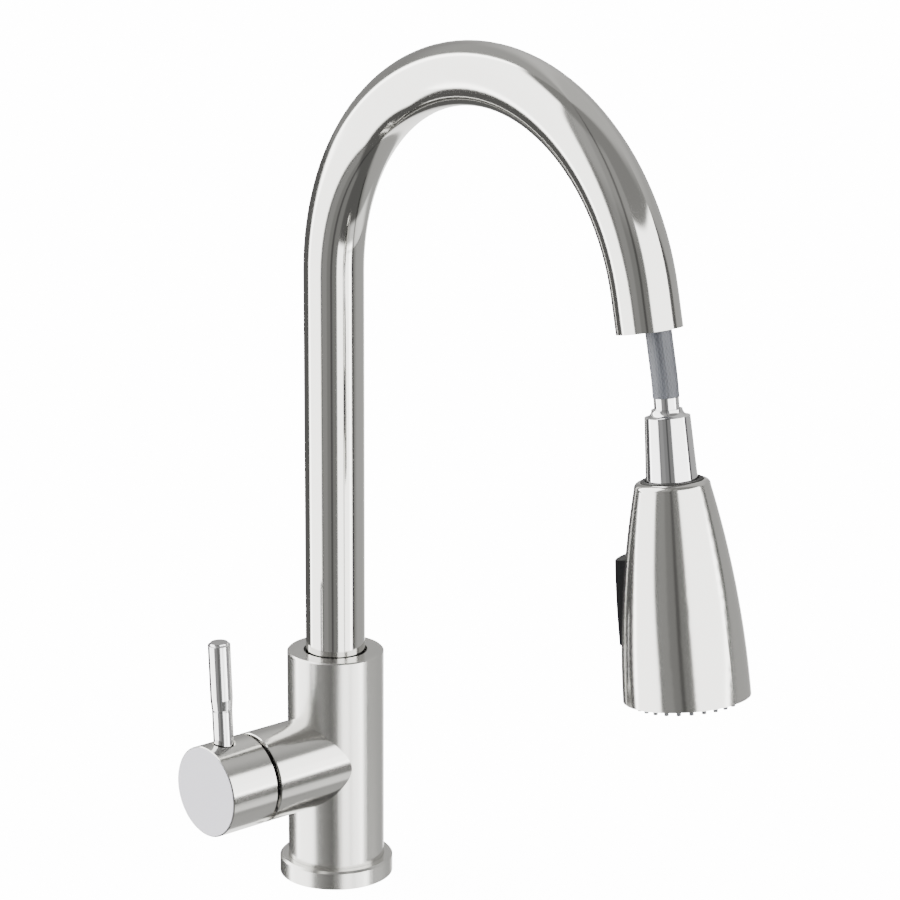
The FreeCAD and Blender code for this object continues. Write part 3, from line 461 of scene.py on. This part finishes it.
def screen_tree():
    """A round woven-wire screen: a grid of wires, kept inside a circle."""
    tree, given, last = tree_with("Wire screen", {
        "Wires": ("NodeSocketInt", 15), "Radius": ("NodeSocketFloat", 0.0075),
        "Wire": ("NodeSocketFloat", 0.00014)})
    width = add(tree, "ShaderNodeMath", {"operation": "MULTIPLY"})
    tree.links.new(given.outputs["Radius"], width.inputs[0])
    width.inputs[1].default_value = 2.0
    grid = add(tree, "GeometryNodeMeshGrid", Size_X=width.outputs[0], Size_Y=width.outputs[0],
               Vertices_X=given.outputs["Wires"], Vertices_Y=given.outputs["Wires"])
    place = add(tree, "GeometryNodeInputPosition")
    reach = add(tree, "ShaderNodeVectorMath", {"operation": "LENGTH"})
    tree.links.new(place.outputs[0], reach.inputs[0])
    outside = add(tree, "FunctionNodeCompare", {"data_type": "FLOAT", "operation": "GREATER_THAN"})
    tree.links.new(reach.outputs["Value"], outside.inputs[0])
    tree.links.new(given.outputs["Radius"], outside.inputs[1])
    kept = add(tree, "GeometryNodeDeleteGeometry", {"domain": "POINT"}, Geometry=grid.outputs["Mesh"],
               Selection=outside.outputs[0])
    lines = add(tree, "GeometryNodeMeshToCurve", Mesh=kept.outputs[0])
    wire = add(tree, "GeometryNodeCurvePrimitiveCircle", Resolution=6, Radius=given.outputs["Wire"])
    swept = add(tree, "GeometryNodeCurveToMesh", Curve=lines.outputs[0], Profile_Curve=wire.outputs["Curve"])
    finish_tree(tree, swept.outputs[0], given, last)
    return tree


def grown(name, tree, values, place):
    """The plain mesh that a tree makes with these input values, put in its place."""
    base = bpy.data.objects.new(f"{name}_base", bpy.data.meshes.new(f"{name}_base"))
    bpy.context.scene.collection.objects.link(base)
    modifier = base.modifiers.new("Shape", "NODES")
    modifier.node_group = tree
    for item in tree.interface.items_tree:
        if item.in_out == "INPUT" and item.name in values:
            modifier[item.identifier] = values[item.name]
    evaluated = base.evaluated_get(bpy.context.evaluated_depsgraph_get())
    mesh = bpy.data.meshes.new_from_object(evaluated)
    base.modifiers.remove(modifier)
    bpy.data.objects.remove(base)
    mesh.name = name
    mesh.transform(place)
    made = bpy.data.objects.new(name, mesh)
    bpy.context.scene.collection.objects.link(made)
    return made


# ------------------------------------------------------------------ settings
class FaucetMetals(bpy.types.PropertyGroup):
    steel_tint: FloatVectorProperty(name="Steel", description="Colour of the steel pieces",
                                    default=(0.60, 0.595, 0.575), size=3, subtype="COLOR")
    tube_roughness: FloatProperty(name="Tube roughness", description="How soft the gooseneck's reflections are",
                                  default=0.09, min=0.0, max=1.0)
    body_roughness: FloatProperty(name="Body roughness", description="How soft the body's reflections are",
                                  default=0.24, min=0.0, max=1.0)
    branch_roughness: FloatProperty(name="Branch roughness", description="How soft the reflections of the side "
                                    "branch and the handle are", default=0.15, min=0.0, max=1.0)
    head_roughness: FloatProperty(name="Head roughness", description="How soft the spray head's reflections are",
                                  default=0.13, min=0.0, max=1.0)
    grain: FloatProperty(name="Brush grain", description="Depth of the brush lines", default=0.12, min=0.0, max=1.0)
    face_tint: FloatVectorProperty(name="Handle face", description="Colour of the handle's blasted end",
                                   default=(0.40, 0.395, 0.43), size=3, subtype="COLOR")
    face_roughness: FloatProperty(name="Handle face roughness", description="How matte the handle's end is",
                                  default=0.5, min=0.0, max=1.0)
    chrome_tint: FloatVectorProperty(name="Chrome", description="Colour of the plated pieces",
                                     default=(0.72, 0.72, 0.73), size=3, subtype="COLOR")
    chrome_roughness: FloatProperty(name="Chrome roughness", description="How soft the plating's reflections are",
                                    default=0.05, min=0.0, max=1.0)
    # The trim ring's tint is near-black as painted shade for the recess in the handle's gap.
    trim_gap_shade_tint: FloatVectorProperty(name="Trim ring", description="Colour of the dark ring in the handle's gap",
                                   default=(0.05, 0.05, 0.052), size=3, subtype="COLOR")
    brass_tint: FloatVectorProperty(name="Brass", description="Colour of the brass pieces",
                                    default=(0.72, 0.53, 0.24), size=3, subtype="COLOR")


class FaucetMouldings(bpy.types.PropertyGroup):
    black_tint: FloatVectorProperty(name="Black plastic", description="Colour of the black mouldings",
                                    default=(0.022, 0.022, 0.024), size=3, subtype="COLOR")
    button_tint: FloatVectorProperty(name="Button plastic", description="Colour of the spray head's button",
                                     default=(0.008, 0.008, 0.009), size=3, subtype="COLOR")
    grey_tint: FloatVectorProperty(name="Grey plastic", description="Colour of the grey mouldings",
                                   default=(0.26, 0.27, 0.29), size=3, subtype="COLOR")
    rubber_tint: FloatVectorProperty(name="Black rubber", description="Colour of seals and gaskets",
                                     default=(0.012, 0.012, 0.012), size=3, subtype="COLOR")
    silicone_tint: FloatVectorProperty(name="Nozzle rubber", description="Colour of the spray nozzles",
                                       default=(0.12, 0.125, 0.135), size=3, subtype="COLOR")


class FaucetHose(bpy.types.PropertyGroup):
    radius: FloatProperty(name="Radius", description="Outer radius of the braid", default=0.0055, unit="LENGTH")
    yarn_tint: FloatVectorProperty(name="Yarn", description="Colour of the braid", default=(0.115, 0.122, 0.142),
                                   size=3, subtype="COLOR")
    yarns: IntProperty(name="Yarns", description="Yarns side by side round the hose", default=24, min=6)
    split_angle: FloatProperty(name="Reach into the arch", description="Degrees of the arch that the moving "
                               "run reaches up into", default=16.0)
    dock_travel: FloatProperty(name="Docking travel", description="How far the ferrule goes up into the spout",
                               default=0.06103, unit="LENGTH")
    travel: FloatProperty(name="Travel", description="How far the hose pulls out", default=0.25, unit="LENGTH")


class FaucetSpray(bpy.types.PropertyGroup):
    outer_count: IntProperty(name="Outer nozzles", description="Nozzles in the outer circle", default=26, min=3)
    inner_count: IntProperty(name="Inner nozzles", description="Nozzles in the inner circle", default=18, min=3)
    outer_circle: FloatProperty(name="Outer circle", description="Radius of the outer circle of nozzles",
                                default=0.0216, unit="LENGTH")
    inner_circle: FloatProperty(name="Inner circle", description="Radius of the inner circle of nozzles",
                                default=0.0164, unit="LENGTH")
    rim_radius: FloatProperty(name="Rim radius", description="Middle radius of a nozzle's rim",
                              default=0.00062, unit="LENGTH")
    lip: FloatProperty(name="Lip", description="Half the thickness of a nozzle's rim", default=0.0003, unit="LENGTH")
    wires: IntProperty(name="Screen wires", description="Wires across the stream outlet", default=17, min=3)
    wire: FloatProperty(name="Wire radius", description="Radius of a screen wire", default=0.00013, unit="LENGTH")


class FaucetStudio(bpy.types.PropertyGroup):
    lens: FloatProperty(name="Lens", description="Focal length in millimetres", default=123.87)
    heading: FloatProperty(name="Heading", description="Compass direction that the camera looks in",
                           default=math.radians(138.085), unit="ROTATION")
    pitch: FloatProperty(name="Pitch", description="How far the camera looks down",
                         default=math.radians(14.821), unit="ROTATION")
    roll: FloatProperty(name="Roll", description="Turn of the camera about its line of sight",
                        default=math.radians(0.308), unit="ROTATION")
    position: FloatVectorProperty(name="Camera", description="Where the camera stands",
                                  default=(1.0650, -0.8844, 0.5735), size=3, subtype="TRANSLATION")
    floor: FloatProperty(name="Floor brightness", description="How brightly the light table glows", default=14.0)


def settings_of(kind):
    return getattr(bpy.context.scene, kind)


# ------------------------------------------------------------------ operators
class FAUCET_OT_steel(bpy.types.Operator):
    """Brushed steel on the flange, body, handle hub, gooseneck and spray head"""
    bl_idname = "faucet.steel"
    bl_label = "Brushed steel"

    def execute(self, context):
        look = settings_of("faucet_metals")
        tint = tuple(look.steel_tint)
        upright, sideways = along_axis(UP), along_axis((0, 1, 0))
        head = along_axis(HEAD_AXIS)
        cover("base_flange", steel("Flange steel", tint, look.body_roughness, look.grain, upright))
        cover("body_shell", steel("Body steel", tint, look.body_roughness, look.grain, upright))
        cover("branch_sleeve", steel("Branch steel", tint, look.branch_roughness, look.grain, sideways))
        cover("spout_tube", steel("Gooseneck steel", tint, look.tube_roughness, look.grain * 0.08, along_spout, 0.02))
        cover("head_shell", steel("Spray head steel", tint, look.head_roughness, look.grain * 0.3, head))
        cover("handle_hub", hub_steel("Handle steel", tint, look.branch_roughness, look.grain, look))
        cover("cartridge_stem", steel("Stem steel", tint, 0.3, look.grain, sideways))
        return {"FINISHED"}


class FAUCET_OT_chrome(bpy.types.Operator):
    """Polished plating on the collar, ferrule and lever, and near-black plating on the trim ring that paints the
    shade of the handle's gap
    """
    bl_idname = "faucet.chrome"
    bl_label = "Chrome plating"

    def execute(self, context):
        look = settings_of("faucet_metals")
        plating = polished("Chrome plating", tuple(look.chrome_tint), look.chrome_roughness)
        for node in ("collar", "hose_ferrule"):
            cover(node, plating)
        # Painted shade: the trim ring gets near-black plating so that the recess between the handle and the branch
        # reads dark.
        cover("trim_ring", polished("Trim ring painted gap shade", tuple(look.trim_gap_shade_tint), 0.16))
        lever = polished("Lever plating", [part * 0.93 for part in look.chrome_tint], 0.09)
        for node in ("lever_stem", "lever_grip"):
            cover(node, lever)
        return {"FINISHED"}


class FAUCET_OT_fittings(bpy.types.Operator):
    """Turned brass, screws, pins and the inlet screen"""
    bl_idname = "faucet.fittings"
    bl_label = "Brass and screws"

    def execute(self, context):
        look = settings_of("faucet_metals")
        brass = machined("Turned brass", tuple(look.brass_tint), 0.24, 0.0004)
        for node in ("shank_insert", "valve_block", "cartridge_nut", "spout_foot", "hose_union", "hose_tail",
                     "swivel_nipple"):
            cover(node, brass)
        plain = machined("Plain steel", tuple(look.steel_tint), 0.22, 0.0003)
        for node in ("stem_pin", "handle_screw", "lock_screw", "swivel_clip", "rocker_pin", "face_screws",
                     "inlet_screen"):
            cover(node, plain)
        return {"FINISHED"}


class FAUCET_OT_mouldings(bpy.types.Operator):
    """Plastic, rubber and ceramic pieces"""
    bl_idname = "faucet.mouldings"
    bl_label = "Plastic, rubber and ceramic"

    def execute(self, context):
        look = settings_of("faucet_mouldings")
        black = moulded("Black plastic", tuple(look.black_tint), 0.34)
        for node in ("head_core", "outlet_liner"):
            cover(node, black)
        cover("rocker_button", moulded("Button plastic", tuple(look.button_tint), 0.36, 1400.0, 0.12))
        grey = moulded("Grey plastic", tuple(look.grey_tint), 0.4)
        for node in ("cartridge_plate", "cartridge_housing", "stem_carrier", "lower_wear_ring",
                     "upper_wear_ring", "check_valve", "diverter_spool", "spray_plate", "stream_outlet",
                     "screw_cap"):
            cover(node, grey)
        seal = rubber("Black rubber", tuple(look.rubber_tint), 0.55)
        for node in ("base_gasket", "port_seals", "neck_seals", "tail_washer", "swivel_seal",
                     "collar_wiper"):
            cover(node, seal)
        cover("nozzle_mat", rubber("Nozzle rubber", tuple(look.silicone_tint), 0.5))
        disc = ceramic("Alumina")
        for node in ("fixed_disc", "moving_disc"):
            cover(node, disc)
        return {"FINISHED"}


class FAUCET_OT_hose(bpy.types.Operator):
    """Braided hose: the run that moves with the spray head, and the sleeve that feeds it"""
    bl_idname = "faucet.hose"
    bl_label = "Braided hose"

    def execute(self, context):
        look = settings_of("faucet_hose")
        width = 2 * math.pi * look.radius
        yarns = braid("Nylon braid", look)
        cover("hose_inner", yarns)
        line = hose_line(look)
        lengths = [0.0]
        for before, after in zip(line, line[1:]):
            lengths.append(lengths[-1] + (after - before).length)
        run = tube_along("hose_run", line, [look.radius] * len(line), lengths, 64, width)
        run.data.materials.append(yarns)
        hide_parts("hose_outer")
        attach(run, "hose")
        total = (line[-1] - line[0]).dot(DOWN)
        keep = (total - look.dock_travel) / total
        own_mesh(run)
        self.feeding_sleeve(look, yarns, line[0], width)
        return {"FINISHED"}

    def feeding_sleeve(self, look, yarns, top, width):
        """A short ring of braid inside the spout, whose braid pattern holds the whole pull-out length of hose
        squeezed into it.
        """
        pull = -HEAD_AXIS
        depth = 0.004
        start, end = top, top + depth * pull
        rings = 90
        points, lengths = [], []
        for ring in range(rings + 1):
            share = ring / rings
            near = 0.5 - math.sin(math.asin(1 - 2 * share) / 3)
            points.append(start + near * depth * pull)
            lengths.append(near * depth + share * look.travel)
        sleeve = tube_along("hose_feed", points, [look.radius * 0.985] * len(points), lengths, 48, width)
        sleeve.data.materials.append(yarns)
        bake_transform(sleeve)


class FAUCET_OT_spray(bpy.types.Operator):
    """Rims round the spray nozzles and the wire screen of the stream outlet"""
    bl_idname = "faucet.spray"
    bl_label = "Nozzle rims and screen"

    def execute(self, context):
        look = settings_of("faucet_spray")
        rims, screen = nozzle_tree(), screen_tree()
        skin = rubber("Nozzle rim rubber", tuple(settings_of("faucet_mouldings").silicone_tint), 0.45)
        ends = Matrix.Translation((0, 0, -(HEAD_LENGTH + 0.0022)))
        for name, count, circle in (("outer_rims", look.outer_count, look.outer_circle),
                                    ("inner_rims", look.inner_count, look.inner_circle)):
            made = grown(name, rims, {"Count": count, "Circle Radius": circle, "Rim Radius": look.rim_radius,
                                      "Lip": look.lip, "Material": skin}, head_place() @ ends)
            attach(made, "spray_head")
        wires = machined("Screen wire", tuple(settings_of("faucet_metals").steel_tint), 0.2, 0.0003)
        floor = Matrix.Translation((0, 0, -(HEAD_LENGTH - 0.0022)))
        made = grown("stream_screen", screen, {"Wires": look.wires, "Radius": 0.0074, "Wire": look.wire,
                                               "Material": wires}, head_place() @ floor)
        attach(made, "spray_head")
        return {"FINISHED"}


class FAUCET_OT_studio(bpy.types.Operator):
    """Light table, surrounding softboxes and the camera"""
    bl_idname = "faucet.studio"
    bl_label = "Studio"

    def execute(self, context):
        look = settings_of("faucet_studio")
        self.floor(look)
        self.softboxes(context.scene)
        self.camera(context.scene, look)
        return {"FINISHED"}

    def floor(self, look):
        mesh = bpy.data.meshes.new("floor")
        reach = 6.0
        mesh.from_pydata([(-reach, -reach, -0.0005), (reach, -reach, -0.0005), (reach, reach, -0.0005),
                          (-reach, reach, -0.0005)], [], [(0, 1, 2, 3)])
        floor = bpy.data.objects.new("floor", mesh)
        bpy.context.scene.collection.objects.link(floor)
        made, shader = material("Pale floor")
        shader.surface(Base_Color=(0.85, 0.85, 0.85, 1), Roughness=0.8,
                       Emission_Color=(1, 1, 1, 1), Emission_Strength=look.floor)
        mesh.materials.append(made)
        floor.visible_glossy = False
        floor.visible_diffuse = False

    def softboxes(self, scene):
        """Tall softboxes and grey walls round the faucet, brighter or darker by direction."""
        world = bpy.data.worlds.new("Studio")
        world.use_nodes = True
        scene.world = world
        shader = Shader(world.node_tree)
        ray = shader.node("ShaderNodeTexCoord", output="Generated")
        x, y, z = shader.parts_of(ray)
        way = y.math("ARCTAN2", x) * (180 / math.pi)
        lift = shader.step(z, -0.2, 0.05)
        light = 0.16 + shader.step(z, 0.3, 0.6) * 0.2
        for wall in STUDIO_WALLS:
            light = light + self.panel(shader, way, z, lift, wall, 0.03)
        for flag in STUDIO_FLAGS:
            light = light * (1 - self.panel(shader, way, z, lift, flag, 0.005))
        kind = shader.node("ShaderNodeLightPath")
        sockets = kind.socket.node.outputs
        seen = Value(shader.tree, sockets["Is Camera Ray"])
        soft = Value(shader.tree, sockets["Is Diffuse Ray"])
        strength = light * (1 - soft * 0.45) * (1 - seen) + seen * 14.0
        back = shader.node("ShaderNodeBackground", inputs={"Color": (1.0, 0.995, 0.975, 1),
                                                           "Strength": strength})
        shader.node("ShaderNodeOutputWorld", inputs={"Surface": back.socket})

    def panel(self, shader, way, z, lift, values, soft):
        """The level of a panel inside its width and between its heights, and 0 outside it."""
        centre, width, feather, level, shift, grow, low, high = values
        off = abs((way - (centre - 540.0) - lift * shift).math("MODULO", 360.0) - 180.0)
        inside = shader.step(off - lift * (grow / 2), width / 2 - feather, width / 2 + feather, level, 0.0)
        return inside * shader.step(z, low - soft, low + soft) * shader.step(z, high - soft, high + soft, 1.0, 0.0)

    def camera(self, scene, look):
        cos_p, sin_p = math.cos(look.pitch), math.sin(look.pitch)
        ahead = Vector((math.cos(look.heading) * cos_p, math.sin(look.heading) * cos_p, -sin_p))
        right = ahead.cross(UP).normalized()
        top = right.cross(ahead)
        turned = right * math.cos(look.roll) + top * math.sin(look.roll)
        tipped = top * math.cos(look.roll) - right * math.sin(look.roll)
        camera = bpy.data.objects.new("camera", bpy.data.cameras.new("camera"))
        scene.collection.objects.link(camera)
        camera.data.lens = look.lens
        camera.data.sensor_width = 36.0
        camera.data.clip_start = 0.05
        place = Matrix((turned, tipped, -ahead)).transposed().to_4x4()
        place.translation = look.position
        camera.matrix_world = place
        scene.camera = camera


# direction in degrees from +X, width, feather, brightness or share taken, how far the panel turns
# and widens from its foot to eye height, and the sines of the heights that it starts and ends at
STUDIO_WALLS = (
    (-121, 58, 3.0, 6.0, -13, 10, -0.86, 0.9),
    (1, 58, 2.0, 6.0, 9, 22, -0.46, 0.55),
    (24, 10, 3.0, 4.0, 20, 0, -0.46, 0.2),
    (-146, 8, 3.0, 4.0, -18, 0, -0.6, 0.9),
    (-58, 60, 4.0, 0.16, -6, 10, -0.9, 0.9),
    (-76, 18, 3.0, 0.12, -5, 0, -0.9, 0.9),
    (86, 84, 16.0, 0.5, 10, 0, -1.2, 1.2),
    (128, 26, 5.0, 2.6, 0, 0, -1.2, -0.12),
    (162, 76, 10.0, 0.24, 0, 0, 0.0, 1.2),
    (45, 70, 12.0, 1.4, 0, 0, -0.62, -0.405),
)
STUDIO_FLAGS = (
    (-50, 7, 2.5, 0.6, -2, 0, -1.2, 1.2),
    (-4, 4, 1.5, 0.75, 0, 0, -0.45, -0.17),
    (35, 6, 2.0, 0.75, 24, 0, -0.9, 0.4),
    (45, 70, 8.0, 0.8, 0, 0, -0.412, -0.394),
)


class FAUCET_PT_panel(bpy.types.Panel):
    """Buttons and settings for the faucet"""
    bl_label = "Faucet"
    bl_space_type = "VIEW_3D"
    bl_region_type = "UI"
    bl_category = "Faucet"

    def draw(self, context):
        for kind, operators in PANEL_ROWS:
            box = self.layout.box()
            for operator in operators:
                box.operator(operator.bl_idname)
            group = settings_of(kind)
            for name in group.bl_rna.properties.keys():
                if name not in ("rna_type", "name"):
                    box.prop(group, name)


PANEL_ROWS = (
    ("faucet_metals", (FAUCET_OT_steel, FAUCET_OT_chrome, FAUCET_OT_fittings)),
    ("faucet_mouldings", (FAUCET_OT_mouldings,)),
    ("faucet_hose", (FAUCET_OT_hose,)),
    ("faucet_spray", (FAUCET_OT_spray,)),
    ("faucet_studio", (FAUCET_OT_studio,)),
)
GROUPS = {"faucet_metals": FaucetMetals, "faucet_mouldings": FaucetMouldings, "faucet_hose": FaucetHose,
          "faucet_spray": FaucetSpray, "faucet_studio": FaucetStudio}
CLASSES = (*GROUPS.values(), FAUCET_OT_steel, FAUCET_OT_chrome, FAUCET_OT_fittings, FAUCET_OT_mouldings,
           FAUCET_OT_hose, FAUCET_OT_spray, FAUCET_OT_studio, FAUCET_PT_panel)


def register():
    for item in CLASSES:
        bpy.utils.register_class(item)
    for name, kind in GROUPS.items():
        setattr(bpy.types.Scene, name, PointerProperty(type=kind))


def unregister():
    for name in GROUPS:
        delattr(bpy.types.Scene, name)
    for item in reversed(CLASSES):
        bpy.utils.unregister_class(item)


def main():
    register()
    bpy.ops.faucet.steel()
    bpy.ops.faucet.chrome()
    bpy.ops.faucet.fittings()
    bpy.ops.faucet.mouldings()
    bpy.ops.faucet.hose()
    bpy.ops.faucet.spray()
    bpy.ops.faucet.studio()


if __name__ == "__main__":
    main()
